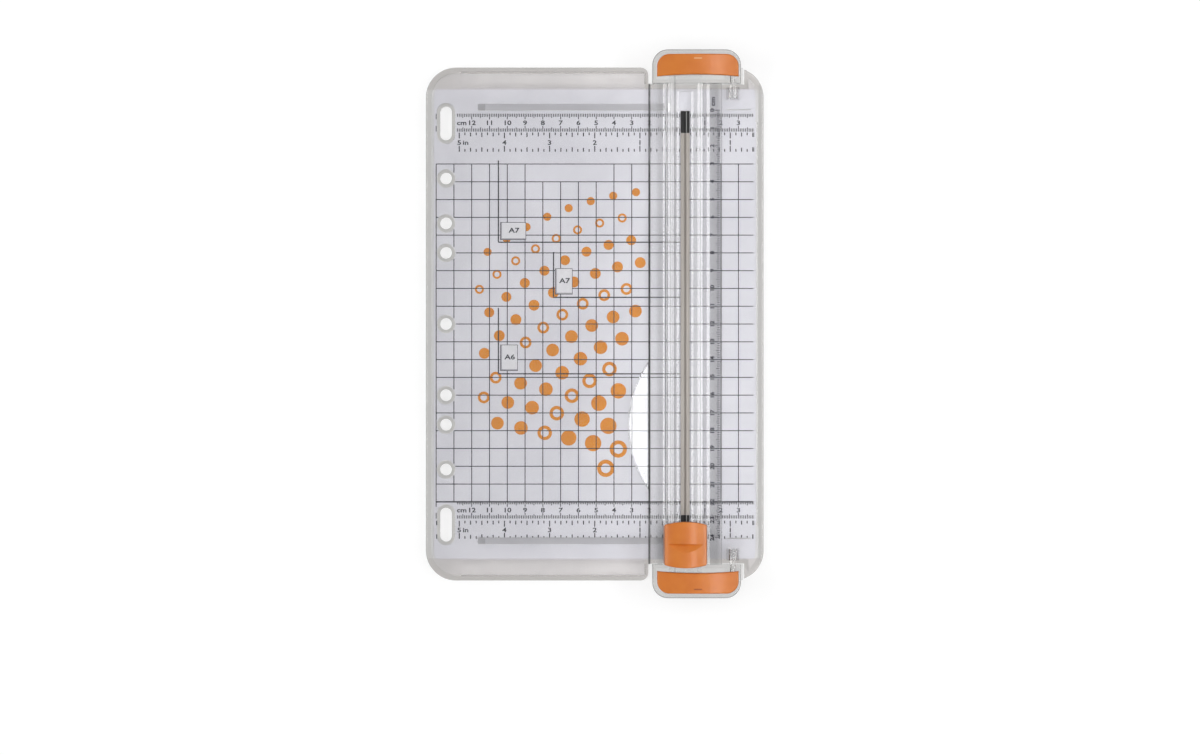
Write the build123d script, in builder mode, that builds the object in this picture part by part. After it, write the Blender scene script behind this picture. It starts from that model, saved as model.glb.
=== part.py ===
"""Desk paper trimmer: a clear tray with a hinged cutting rail and a sliding blade carriage.

Millimetres. +Z is up, +Y runs along the cut, +X points to the hinge side.
The origin is on the table, below the middle of the whole trimmer.
"""

from build123d import *
from math import pi, sqrt
import os

os.makedirs("parts", exist_ok=True)

# Tray of the base
BASE_W = 190.0
BASE_L = 288.4
BASE_H = 8.0
BASE_CORNER_R = 17.0
DECK_T = 2.5
WALL_T = 3.0
RIM_R = 1.2
FOOT_PROUD = 1.2

# Ledges moulded along both short sides of the deck
LEDGE_INSET = 19.8
LEDGE_RIM = 2.5
LEDGE_W = 9.3
LEDGE_SLOPE = 2.4
LEDGE_DEPTH = 1.4
LEDGE_DRAFT = 0.9
LEDGE_STEP_L = 4.8
LEDGE_STEP_DEPTH = 0.7
LEDGE_NOTCH_WALL = 2.2

# Shallow groove along the hinge side
SIDE_GROOVE_END = 30.7
SIDE_GROOVE_W = 2.7
SIDE_GROOVE_INSET = 3.0
SIDE_GROOVE_DEPTH = 0.8

# Holes and slots for the rings of a binder
BINDER_INSET = 11.4
BINDER_R = 3.3
BINDER_WALL = 1.65
BINDER_HOLE_INSETS = (104.2, 87.6, 62.4)
BINDER_SLOT_INSET = 31.4
BINDER_SLOT_L = 19.1
BINDER_GAP = 0.3

# Paper fences on the deck
FENCE_INSET = 24.2
FENCE_W = 3.6
FENCE_H = 1.6
FENCE_LEFT_INSET = 29.1
FENCE_CUT_GAP = 8.7
FENCE_TAPER = 4.0
FENCE_GAP = 0.5
MARK_RIB_L = 14.0
MARK_RIB_W = 0.8
MARK_RIB_H = 0.5
MARK_RIB_INSET = 7.0

# Printed card and the plate that holds it up
CARD_T = 0.4
CARD_GAP = 0.1
CARD_SIDE_GAP = 1.6
CARD_END_GAP = 0.3
PLATE_T = 2.0
PLATE_GAP = 0.3
PLATE_RIM_W = 1.8
PLATE_RIB_W = 1.6
PLATE_RIB_PITCH = 50.0
PLATE_LIFT = 0.3

# Rubber feet
FOOT_R = 6.0
FOOT_GAP = 0.2
FOOT_SOCKET_WALL = 1.6
FOOT_INSET_X = 25.0
FOOT_INSET_Y = 31.2
FOOT_EDGE_R = 0.5

# Cut line and the strip below it
CUT_INSET = 44.2
STRIP_W = 5.0
STRIP_T = 1.6
STRIP_INSET = 15.2
STRIP_GAP = 0.1
END_BLOCK_W = 4.9
END_BLOCK_L = 12.3
GROOVE_W = 1.2
GROOVE_DEPTH = 1.2

# Cutting rail
RAIL_INSET = 9.3
RAIL_W = 41.4
PAPER_GAP = 0.6
FLANGE_T = 2.8
FLANGE_EDGE_T = 1.95
SCALE_BEVEL_W = 6.8
SCALE_STEP = 0.37
CHANNEL_W = 20.0
CHANNEL_H = 9.0
CHANNEL_FOOT = 2.0
SHOULDER_W = 3.4
SHOULDER_DROP = 1.5
SHOULDER_EDGE_R = 0.8
FLOOR_T = 2.4
CAVITY_W = 16.0
CAVITY_H = 4.6
TOP_SLOT_W = 10.4
BOTTOM_SLIT_W = 7.0
SLIT_END_WALL = 4.4
SLIT_LIP_W = 1.2
SLIT_LIP_DROP = 0.5
RAIL_LINE_DEPTH = 0.5
RAIL_LINES = ((14.9, 1.9), (16.3, 1.0))

# Lift tab on the paper side of the rail
TAB_CHORD = 71.8
TAB_OUT = 11.5
TAB_T = 2.0
TAB_LIFT = 2.4
TAB_INSET = 77.8
TAB_EDGE_R = 0.7

# Tongues of the rail inside the caps
TONGUE_W = 18.0
TONGUE_L = 13.6
TONGUE_T = 2.0
TONGUE_GAP = 0.15

# End caps and their hinge
CAP_LEFT = 18.6
CAP_L = 18.8
CAP_TOP = 19.0
CAP_GROUND = 2.2
CAP_CORNER_R = 8.8
CAP_GAP = 2.1
CAP_LEAD = 0.4
CAP_WALL = 2.2
CAP_HOLLOW_TOP = 7.8
CAP_EDGE_R = 0.8
NOTCH_WALL = 2.0
NOTCH_MOUTH_R = 4.5
HINGE_OFFSET = 26.7
HINGE_Z = 13.0
CAP_HEEL = 4.4
CAP_FLANGE_W = 1.5
CAP_FLANGE_L = 9.0
CAP_FLANGE_TOP = 8.4
PIN_R = 1.6
PIN_L = 20.0
PIN_FIT = 0.05
PIN_CHAMFER = 0.3
PIN_END_GAP = 0.3
LUG_R = 3.65
LUG_L = 6.4
LUG_CAP_GAP = 2.3

# Coloured covers in the caps
INSERT_LEFT_MARGIN = 2.6
INSERT_RIGHT_MARGIN = 1.2
INSERT_OUTER_MARGIN = 2.6
INSERT_INNER_MARGIN = 3.5
INSERT_CORNER_R = 7.0
INSERT_BOW = 1.0
INSERT_FLOOR = 15.4
INSERT_TOP = 23.2
INSERT_CROWN = 4.2
INSERT_SKIN = 1.8
INSERT_GAP = 0.1
INSERT_EDGE_R = 0.8
INSERT_DASH_L = 4.6
INSERT_DASH_W = 0.7
INSERT_DASH_H = 0.3
INSERT_DASH_INSET = 2.6

# Screws that hold the caps on the tongues
SCREW_R = 1.25
SCREW_HEAD_R = 2.4
SCREW_HEAD_H = 1.5
SCREW_SPREAD = 12.0
SCREW_END = 0.6
SCREW_CROSS_W = 0.8
SCREW_CROSS_L = 2.8
SCREW_CROSS_DEPTH = 0.8
SCREW_FIT = 0.05

# Blade carriage
PARK_INSET = 11.3
CARRIAGE_END_GAP = 0.7
SHOE_GAP = 0.15
NECK_GAP = 0.3
NECK_TOP = 19.6
WELL_GAP = 0.2
PRESS_TRAVEL = 2.0
HOLDER_W = 4.0
HOLDER_L = 10.4
HOLDER_BOTTOM = 12.5
BLADE_T = 0.4
BLADE_L = 9.0
BLADE_TIP = 10.4
BLADE_SHOULDER = 12.8
BLADE_TOP = 18.0
BLADE_GAP = 0.05
BLADE_PIN_R = 0.9
BLADE_PIN_Z = 15.5
BLADE_PIN_FIT = 0.05

# Springs under the thumb slider
SPRING_WIRE_R = 0.2
SPRING_R = 1.4
SPRING_TURNS = 7
SPRING_GAP = 0.25
SPRING_WALL = 0.55
SPRING_SEAT = 1.5
SPRING_END_GAP = 0.05

# Thumb slider
THUMB_W = 24.5
THUMB_L = 25.8
THUMB_BOW = 1.8
THUMB_TOP = 29.0
THUMB_CROWN = 2.5
THUMB_DRAFT = 0.6
THUMB_CORNER_R = 1.5
THUMB_EDGE_R = 0.6
THUMB_UNDER_GAP = 0.5
SKIRT_GAP = 0.4
SKIRT_BOTTOM_GAP = 0.6
OVERHANG_GAP = 1.0
THUMB_ROOM_H = 3.2
THUMB_ROOM_W = 13.0
THUMB_ROOM_GAP = 0.6
SOCKET_DEPTH = 1.5
SOCKET_GAP = 0.05
GRIP_EDGE = 0.5
GRIP_LENGTH = 4.6
GRIP_DEPTH = 1.75

# Levels and places that follow from the sizes above
BASE_Z = FOOT_PROUD
DECK_Z = BASE_Z + BASE_H
DECK_UNDER = DECK_Z - DECK_T
CARD_TOP = DECK_UNDER - CARD_GAP
CARD_BOTTOM = CARD_TOP - CARD_T
PLATE_TOP = CARD_BOTTOM - CARD_GAP
PLATE_BOTTOM = PLATE_TOP - PLATE_T
PLATE_RIM_BOTTOM = BASE_Z + PLATE_LIFT
BINDER_X = BINDER_INSET - BASE_W / 2
BINDER_SLOT_Y = BASE_L / 2 - BINDER_SLOT_INSET
FOOT_PITCH_X = BASE_W - 2 * FOOT_INSET_X
FOOT_PITCH_Y = BASE_L - 2 * FOOT_INSET_Y
CUT_X = BASE_W / 2 - CUT_INSET
FENCE_Y = BASE_L / 2 - FENCE_INSET
FENCE_START = FENCE_LEFT_INSET - BASE_W / 2
FENCE_END = CUT_X - FENCE_CUT_GAP
RAIL_Z = DECK_Z + PAPER_GAP
RAIL_TOP = RAIL_Z + CHANNEL_H
CAVITY_Z = RAIL_Z + FLOOR_T
CAVITY_TOP = CAVITY_Z + CAVITY_H
RAIL_END = BASE_L / 2 - RAIL_INSET
TAB_Y = TAB_INSET - RAIL_END
PARK_Y = RAIL_END - PARK_INSET
HINGE_X = CUT_X + HINGE_OFFSET
CAP_X0 = CUT_X - CAP_LEFT
CAP_X1 = HINGE_X + CAP_HEEL
CAP_MID_X = (CAP_X0 + CAP_X1) / 2
CAP_W = CAP_X1 - CAP_X0
INSERT_MID_X = CAP_MID_X + (INSERT_LEFT_MARGIN - INSERT_RIGHT_MARGIN) / 2
NOTCH_X0 = CAP_X0 - CAP_GAP
NOTCH_Y = RAIL_END - CAP_LEAD
LUG_Y = RAIL_END - LUG_CAP_GAP - LUG_L / 2
PIN_Y = LUG_Y - LUG_L / 2 + PIN_L / 2
BLOCK_END = RAIL_END - STRIP_INSET
STRIP_L = 2 * (BLOCK_END - END_BLOCK_L - STRIP_GAP)
SLIT_END = RAIL_END - SLIT_END_WALL
TONGUE_Z = CAVITY_Z - TONGUE_T
TONGUE_ROOM = (TONGUE_W + 2 * TONGUE_GAP, TONGUE_L + TONGUE_GAP, TONGUE_T + 2 * TONGUE_GAP)
SCREW_Y = (INSERT_INNER_MARGIN + CAP_L - INSERT_OUTER_MARGIN) / 2
SHOE_HALF_L = RAIL_END - PARK_Y - CARRIAGE_END_GAP
SHOE_Z = CAVITY_Z + SHOE_GAP
SHOE_TOP = CAVITY_TOP - SHOE_GAP
THUMB_UNDER = RAIL_TOP + PRESS_TRAVEL + THUMB_UNDER_GAP
SKIRT_BOTTOM = RAIL_Z + FLANGE_T + CHANNEL_FOOT / 2 + PRESS_TRAVEL + SKIRT_BOTTOM_GAP
OVERHANG_BOTTOM = CAP_TOP + PRESS_TRAVEL + OVERHANG_GAP
ROOM_TOP = THUMB_UNDER + THUMB_ROOM_H
SPRING_Y = HOLDER_L / 2 + WELL_GAP + SPRING_WALL + SPRING_R + SPRING_WIRE_R + SPRING_GAP
SPRING_FLOOR = SHOE_Z + SPRING_SEAT
NECK_HALF_L = SPRING_Y + SPRING_R + SPRING_WIRE_R + SPRING_GAP + SPRING_WALL
ENDS = (("upper", 1), ("lower", -1))


def across(x, y, z=0.0):
    """Upright plane across the cut: local x is X, local y is Z."""
    return Plane(origin=(x, y, z), x_dir=(1, 0, 0), z_dir=(0, -1, 0))


def along(x, y, z=0.0):
    """Upright plane along the cut: local x is Y, local y is Z."""
    return Plane(origin=(x, y, z), x_dir=(0, 1, 0), z_dir=(1, 0, 0))


def binder_shapes(grow):
    """Ring holes and slots along the left side, each grown all round."""
    with Locations((BINDER_X, 0)):
        Circle(BINDER_R + grow)
    for inset in BINDER_HOLE_INSETS:
        with Locations((BINDER_X, BASE_L / 2 - inset), (BINDER_X, inset - BASE_L / 2)):
            Circle(BINDER_R + grow)
    with Locations((BINDER_X, BINDER_SLOT_Y), (BINDER_X, -BINDER_SLOT_Y)):
        SlotOverall(BINDER_SLOT_L + 2 * grow, 2 * (BINDER_R + grow), rotation=90)


def cap_notches(grow, mode=Mode.ADD):
    """Both notches for the end caps, grown all round, in the active sketch."""
    length = BASE_L / 2 - NOTCH_Y + 2 * grow
    middle = NOTCH_Y - grow + length / 2
    with Locations((CAP_MID_X, middle), (CAP_MID_X, -middle)):
        Rectangle(CAP_W + 2 * CAP_GAP + 2 * grow, length, mode=mode)


def tray_inside(gap):
    """Space inside the tray walls, less a gap all round, in the active sketch."""
    inset = WALL_T + gap
    RectangleRounded(BASE_W - 2 * inset, BASE_L - 2 * inset, BASE_CORNER_R - inset)
    cap_notches(NOTCH_WALL + gap, Mode.SUBTRACT)


def insert_plan(side, gap):
    """Outline of a cap's coloured cover, less a gap all round, in the active sketch."""
    x0 = CAP_X0 + INSERT_LEFT_MARGIN + gap
    x1 = CAP_X1 - INSERT_RIGHT_MARGIN - gap
    y0 = side * (RAIL_END + INSERT_INNER_MARGIN + gap)
    y1 = side * (RAIL_END + CAP_L - INSERT_OUTER_MARGIN - gap)
    corner = INSERT_CORNER_R - gap
    corner_y = y1 - side * corner
    bulge = corner * (1 - sqrt(0.5))
    with BuildLine() as rim:
        ThreePointArc((x0, y0), ((x0 + x1) / 2, y0 + side * INSERT_BOW), (x1, y0))
        Line((x1, y0), (x1, corner_y))
        ThreePointArc((x1, corner_y), (x1 - bulge, y1 - side * bulge), (x1 - corner, y1))
        Line((x1 - corner, y1), (x0 + corner, y1))
        ThreePointArc((x0 + corner, y1), (x0 + bulge, y1 - side * bulge), (x0, corner_y))
        Line((x0, corner_y), (x0, y0))
    make_face(rim.edges())


# Base shell: tray, binder tubes, fences, hinge lugs
with BuildPart() as base_shell:
    with BuildSketch(Plane.XY.offset(BASE_Z)):
        RectangleRounded(BASE_W, BASE_L, BASE_CORNER_R)
    extrude(amount=BASE_H)
    fillet(base_shell.faces().sort_by(Axis.Z)[-1].edges(), RIM_R)
    with BuildSketch(Plane.XY.offset(BASE_Z)):
        mouth_x = NOTCH_X0 - NOTCH_MOUTH_R
        mouth_y = BASE_L / 2 - NOTCH_MOUTH_R
        for _, side in ENDS:
            with Locations((mouth_x + NOTCH_MOUTH_R / 2, side * (mouth_y + NOTCH_MOUTH_R / 2))):
                Rectangle(NOTCH_MOUTH_R, NOTCH_MOUTH_R)
            with Locations((mouth_x, side * mouth_y)):
                Circle(NOTCH_MOUTH_R, mode=Mode.SUBTRACT)
        cap_notches(0)
    extrude(amount=BASE_H, mode=Mode.SUBTRACT)
    with BuildSketch(Plane.XY.offset(BASE_Z)):
        tray_inside(0)
    extrude(amount=BASE_H - DECK_T, mode=Mode.SUBTRACT)
    with BuildSketch(Plane.XY.offset(BASE_Z)):
        binder_shapes(BINDER_WALL)
    extrude(amount=BASE_H - DECK_T)
    with BuildSketch(Plane.XY.offset(BASE_Z)):
        binder_shapes(0)
    extrude(amount=BASE_H, mode=Mode.SUBTRACT)
    ledge_x0 = LEDGE_INSET - BASE_W / 2
    ledge_x1 = NOTCH_X0 - LEDGE_NOTCH_WALL
    ledge_out = BASE_L / 2 - LEDGE_RIM
    ledge_runs = (
        (ledge_x0, ledge_x1, LEDGE_DEPTH),
        (ledge_x0 - LEDGE_STEP_L, ledge_x0, LEDGE_STEP_DEPTH),
    )
    for _, side in ENDS:
        for run_x0, run_x1, depth in ledge_runs:
            with BuildSketch(along((run_x0 + run_x1) / 2, 0)):
                with BuildLine():
                    Polyline(
                        (side * ledge_out, DECK_Z),
                        (side * (ledge_out - LEDGE_DRAFT), DECK_Z - depth),
                        (side * (ledge_out - LEDGE_W + LEDGE_SLOPE), DECK_Z - depth),
                        (side * (ledge_out - LEDGE_W), DECK_Z),
                        close=True,
                    )
                make_face()
            extrude(amount=(run_x1 - run_x0) / 2, both=True, mode=Mode.SUBTRACT)
        ledge_floor_w = LEDGE_W - LEDGE_SLOPE - LEDGE_DRAFT
        for ledge_x, lean in ((ledge_x0, -1), (ledge_x1, 1)):
            with BuildSketch(across(ledge_x, side * (ledge_out - LEDGE_DRAFT - ledge_floor_w / 2))):
                with BuildLine():
                    Polyline(
                        (0, DECK_Z),
                        (lean * LEDGE_DRAFT, DECK_Z),
                        (0, DECK_Z - LEDGE_DEPTH),
                        close=True,
                    )
                make_face()
            extrude(amount=ledge_floor_w / 2, both=True, mode=Mode.SUBTRACT)
    with BuildSketch(across(BASE_W / 2 - SIDE_GROOVE_INSET - SIDE_GROOVE_W / 2, 0)):
        with BuildLine():
            Polyline(
                (-SIDE_GROOVE_W / 2, DECK_Z),
                (0, DECK_Z - SIDE_GROOVE_DEPTH),
                (SIDE_GROOVE_W / 2, DECK_Z),
                close=True,
            )
        make_face()
    extrude(amount=BASE_L / 2 - SIDE_GROOVE_END, both=True, mode=Mode.SUBTRACT)
    with BuildSketch(Plane.XY.offset(DECK_Z)):
        with Locations((CUT_X, 0)):
            Rectangle(STRIP_W + 2 * STRIP_GAP, STRIP_L + 2 * STRIP_GAP)
            Rectangle(END_BLOCK_W + 2 * STRIP_GAP, 2 * (BLOCK_END + STRIP_GAP))
    extrude(amount=-STRIP_T, mode=Mode.SUBTRACT)
    with BuildSketch(Plane.XY.offset(DECK_Z)):
        with Locations((CUT_X, 0)):
            Rectangle(GROOVE_W, 2 * SLIT_END)
    extrude(amount=-GROOVE_DEPTH, mode=Mode.SUBTRACT)
    for _, side in ENDS:
        with BuildSketch(across(0, side * (FENCE_Y + FENCE_W / 2))):
            with BuildLine():
                Polyline(
                    (FENCE_START, DECK_Z),
                    (FENCE_START + FENCE_TAPER, DECK_Z + FENCE_H),
                    (FENCE_END, DECK_Z + FENCE_H),
                    (FENCE_END, DECK_Z),
                    close=True,
                )
            make_face()
        extrude(amount=FENCE_W / 2, both=True)
        with BuildSketch(Plane.XY.offset(DECK_Z)):
            mark_x = BASE_W / 2 - MARK_RIB_INSET - MARK_RIB_L / 2
            with Locations((mark_x, side * (FENCE_Y + MARK_RIB_W / 2))):
                Rectangle(MARK_RIB_L, MARK_RIB_W)
        extrude(amount=MARK_RIB_H)
        with BuildSketch(across(HINGE_X, side * LUG_Y)):
            with Locations((0, (DECK_Z + HINGE_Z) / 2)):
                Rectangle(2 * LUG_R, HINGE_Z - DECK_Z)
            with Locations((0, HINGE_Z)):
                Circle(LUG_R)
                Circle(PIN_R + PIN_FIT, mode=Mode.SUBTRACT)
        extrude(amount=LUG_L / 2, both=True)
base_shell.part.label = "base_shell"
export_step(base_shell.part, "parts/base_shell.step")

# Printed card below the deck
with BuildPart() as grid_sheet:
    with BuildSketch(Plane.XY.offset(CARD_BOTTOM)):
        inset = WALL_T + CARD_SIDE_GAP
        RectangleRounded(BASE_W - 2 * inset, BASE_L - 2 * inset, BASE_CORNER_R - inset)
        Rectangle(BASE_W, 2 * (NOTCH_Y - NOTCH_WALL - CARD_END_GAP), mode=Mode.INTERSECT)
        with BuildSketch(mode=Mode.SUBTRACT):
            binder_shapes(BINDER_WALL + BINDER_GAP)
    extrude(amount=CARD_T)
grid_sheet.part.label = "grid_sheet"
export_step(grid_sheet.part, "parts/grid_sheet.step")

# Back plate with its rim, ribs and foot sockets
with BuildPart() as back_plate:
    with BuildSketch(Plane.XY.offset(PLATE_BOTTOM)):
        tray_inside(PLATE_GAP)
    extrude(amount=PLATE_T)
    with BuildSketch(Plane.XY.offset(PLATE_RIM_BOTTOM)):
        tray_inside(PLATE_GAP)
        with BuildSketch(mode=Mode.SUBTRACT):
            tray_inside(PLATE_GAP + PLATE_RIM_W)
    extrude(amount=PLATE_BOTTOM - PLATE_RIM_BOTTOM)
    with BuildSketch(Plane.XY.offset(PLATE_RIM_BOTTOM)):
        with GridLocations(0, PLATE_RIB_PITCH, 1, 5):
            Rectangle(BASE_W, PLATE_RIB_W)
        with BuildSketch(mode=Mode.INTERSECT):
            tray_inside(PLATE_GAP + PLATE_RIM_W / 2)
        with GridLocations(FOOT_PITCH_X, FOOT_PITCH_Y, 2, 2):
            Circle(FOOT_R + FOOT_GAP + FOOT_SOCKET_WALL)
    extrude(amount=PLATE_BOTTOM - PLATE_RIM_BOTTOM)
    with BuildSketch(Plane.XY.offset(PLATE_RIM_BOTTOM)):
        with GridLocations(FOOT_PITCH_X, FOOT_PITCH_Y, 2, 2):
            Circle(FOOT_R + FOOT_GAP)
    extrude(amount=PLATE_BOTTOM - PLATE_RIM_BOTTOM, mode=Mode.SUBTRACT)
    with BuildSketch(Plane.XY.offset(PLATE_RIM_BOTTOM)):
        binder_shapes(BINDER_WALL + BINDER_GAP)
    extrude(amount=PLATE_TOP - PLATE_RIM_BOTTOM, mode=Mode.SUBTRACT)
back_plate.part.label = "back_plate"
export_step(back_plate.part, "parts/back_plate.step")

# Rubber feet, four alike
with BuildPart() as rubber_feet:
    with BuildSketch(Plane.XY):
        with GridLocations(FOOT_PITCH_X, FOOT_PITCH_Y, 2, 2):
            Circle(FOOT_R)
    extrude(amount=PLATE_BOTTOM)
    fillet(rubber_feet.edges().group_by(Axis.Z)[0], FOOT_EDGE_R)
rubber_feet.part.label = "rubber_feet"
export_step(rubber_feet.part, "parts/rubber_feet.step")

# Cutting strip with the groove that the blade tip runs in
with BuildPart() as cutting_strip:
    with BuildSketch(across(CUT_X, 0)):
        with Locations((0, DECK_Z - STRIP_T / 2)):
            Rectangle(STRIP_W, STRIP_T)
        with Locations((0, DECK_Z - GROOVE_DEPTH / 2)):
            Rectangle(GROOVE_W, GROOVE_DEPTH, mode=Mode.SUBTRACT)
    extrude(amount=STRIP_L / 2, both=True)
cutting_strip.part.label = "cutting_strip"
export_step(cutting_strip.part, "parts/cutting_strip.step")

# Black blocks that close the strip at both ends
for end, side in ENDS:
    with BuildPart() as strip_end:
        with BuildSketch(across(CUT_X, side * (BLOCK_END - END_BLOCK_L / 2))):
            with Locations((0, DECK_Z - STRIP_T / 2)):
                Rectangle(END_BLOCK_W, STRIP_T)
            with Locations((0, DECK_Z - GROOVE_DEPTH / 2)):
                Rectangle(GROOVE_W, GROOVE_DEPTH, mode=Mode.SUBTRACT)
        extrude(amount=END_BLOCK_L / 2, both=True)
    strip_end.part.label = f"strip_end_{end}"
    export_step(strip_end.part, f"parts/strip_end_{end}.step")

# Hinge pins, fixed in the lugs of the base
for end, side in ENDS:
    with BuildPart() as hinge_pin:
        with BuildSketch(across(HINGE_X, side * PIN_Y, HINGE_Z)):
            Circle(PIN_R)
        extrude(amount=PIN_L / 2, both=True)
        chamfer(hinge_pin.edges().filter_by(GeomType.CIRCLE), PIN_CHAMFER)
    hinge_pin.part.label = f"hinge_pin_{end}"
    export_step(hinge_pin.part, f"parts/hinge_pin_{end}.step")

# Lift tab: a round lip that rises from the paper side of the rail, to be joined to it
with BuildPart() as lift_tab:
    tab_x = CUT_X - RAIL_W / 2
    with BuildSketch(Plane.XY.offset(RAIL_Z)):
        with BuildLine():
            ThreePointArc(
                (tab_x, TAB_Y - TAB_CHORD / 2),
                (tab_x - TAB_OUT, TAB_Y),
                (tab_x, TAB_Y + TAB_CHORD / 2),
            )
            Line((tab_x, TAB_Y + TAB_CHORD / 2), (tab_x, TAB_Y - TAB_CHORD / 2))
        make_face()
    extrude(amount=TAB_T + TAB_LIFT)
    with BuildSketch(across(tab_x, TAB_Y)):
        with BuildLine():
            Polyline(
                (0, RAIL_Z),
                (0, RAIL_Z + TAB_T),
                (-TAB_OUT, RAIL_Z + TAB_T + TAB_LIFT),
                (-TAB_OUT, RAIL_Z + TAB_LIFT),
                close=True,
            )
        make_face()
    extrude(amount=TAB_CHORD, both=True, mode=Mode.INTERSECT)
    rim = lift_tab.faces().sort_by(Axis.X)[0].edges().sort_by(Axis.Z)[-1]
    fillet(rim, TAB_EDGE_R)

# Cutting rail: slotted channel, flanges and tongues, with the lift tab
with BuildPart() as cutting_rail:
    flange_top = RAIL_Z + FLANGE_T
    foot_x = CHANNEL_W / 2 + CHANNEL_FOOT
    with BuildSketch(across(CUT_X, 0)) as rail_section:
        with BuildLine():
            Polyline(
                (-RAIL_W / 2, RAIL_Z),
                (RAIL_W / 2, RAIL_Z),
                (RAIL_W / 2, RAIL_Z + FLANGE_EDGE_T),
                (RAIL_W / 2 - SCALE_BEVEL_W, flange_top - SCALE_STEP),
                (foot_x, flange_top),
                (CHANNEL_W / 2, flange_top + CHANNEL_FOOT / 2),
                (CHANNEL_W / 2, RAIL_TOP - SHOULDER_DROP),
                (CHANNEL_W / 2 - SHOULDER_W, RAIL_TOP),
                (SHOULDER_W - CHANNEL_W / 2, RAIL_TOP),
                (-CHANNEL_W / 2, RAIL_TOP - SHOULDER_DROP),
                (-CHANNEL_W / 2, flange_top + CHANNEL_FOOT / 2),
                (-foot_x, flange_top),
                (-RAIL_W / 2, RAIL_Z + TAB_T),
                close=True,
            )
        make_face()
        fillet(rail_section.vertices().group_by(Axis.Y)[-2], SHOULDER_EDGE_R)
        with Locations((0, CAVITY_Z + CAVITY_H / 2)):
            Rectangle(CAVITY_W, CAVITY_H, mode=Mode.SUBTRACT)
        with Locations((0, (CAVITY_TOP + RAIL_TOP) / 2)):
            Rectangle(TOP_SLOT_W, RAIL_TOP - CAVITY_TOP, mode=Mode.SUBTRACT)
        for line_start, line_width in RAIL_LINES:
            with Locations((line_width / 2 - line_start, flange_top)):
                Rectangle(line_width, 2 * RAIL_LINE_DEPTH, mode=Mode.SUBTRACT)
    extrude(amount=RAIL_END, both=True)
    with BuildSketch(Plane.XY.offset(RAIL_Z)):
        with Locations((CUT_X, 0)):
            Rectangle(BOTTOM_SLIT_W, 2 * SLIT_END)
    extrude(amount=FLOOR_T, mode=Mode.SUBTRACT)
    with BuildSketch(across(CUT_X, 0)):
        with BuildLine():
            lip_x = BOTTOM_SLIT_W / 2 + SLIT_LIP_W
            Polyline(
                (-lip_x, CAVITY_Z),
                (lip_x, CAVITY_Z),
                (BOTTOM_SLIT_W / 2, CAVITY_Z - SLIT_LIP_DROP),
                (-BOTTOM_SLIT_W / 2, CAVITY_Z - SLIT_LIP_DROP),
                close=True,
            )
        make_face()
    extrude(amount=SLIT_END, both=True, mode=Mode.SUBTRACT)
    with BuildSketch(Plane.XY.offset(RAIL_Z)):
        relief_w = FENCE_END + FENCE_GAP - CUT_X + RAIL_W / 2
        with Locations((FENCE_END + FENCE_GAP - relief_w / 2, 0)):
            with Locations((0, FENCE_Y + FENCE_W / 2), (0, -FENCE_Y - FENCE_W / 2)):
                Rectangle(relief_w, FENCE_W + 2 * FENCE_GAP)
    extrude(amount=FENCE_H - PAPER_GAP + FENCE_GAP, mode=Mode.SUBTRACT)
    add(lift_tab.part)
    with BuildSketch(Plane.XY.offset(TONGUE_Z)):
        for _, side in ENDS:
            with Locations((CUT_X, side * (RAIL_END + TONGUE_L / 2))):
                Rectangle(TONGUE_W, TONGUE_L)
                with GridLocations(SCREW_SPREAD, 0, 2, 1):
                    with Locations((0, side * (SCREW_Y - TONGUE_L / 2))):
                        Circle(SCREW_R + SCREW_FIT, mode=Mode.SUBTRACT)
    extrude(amount=TONGUE_T)
cutting_rail.part.label = "cutting_rail"
export_step(cutting_rail.part, "parts/cutting_rail.step")

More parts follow.
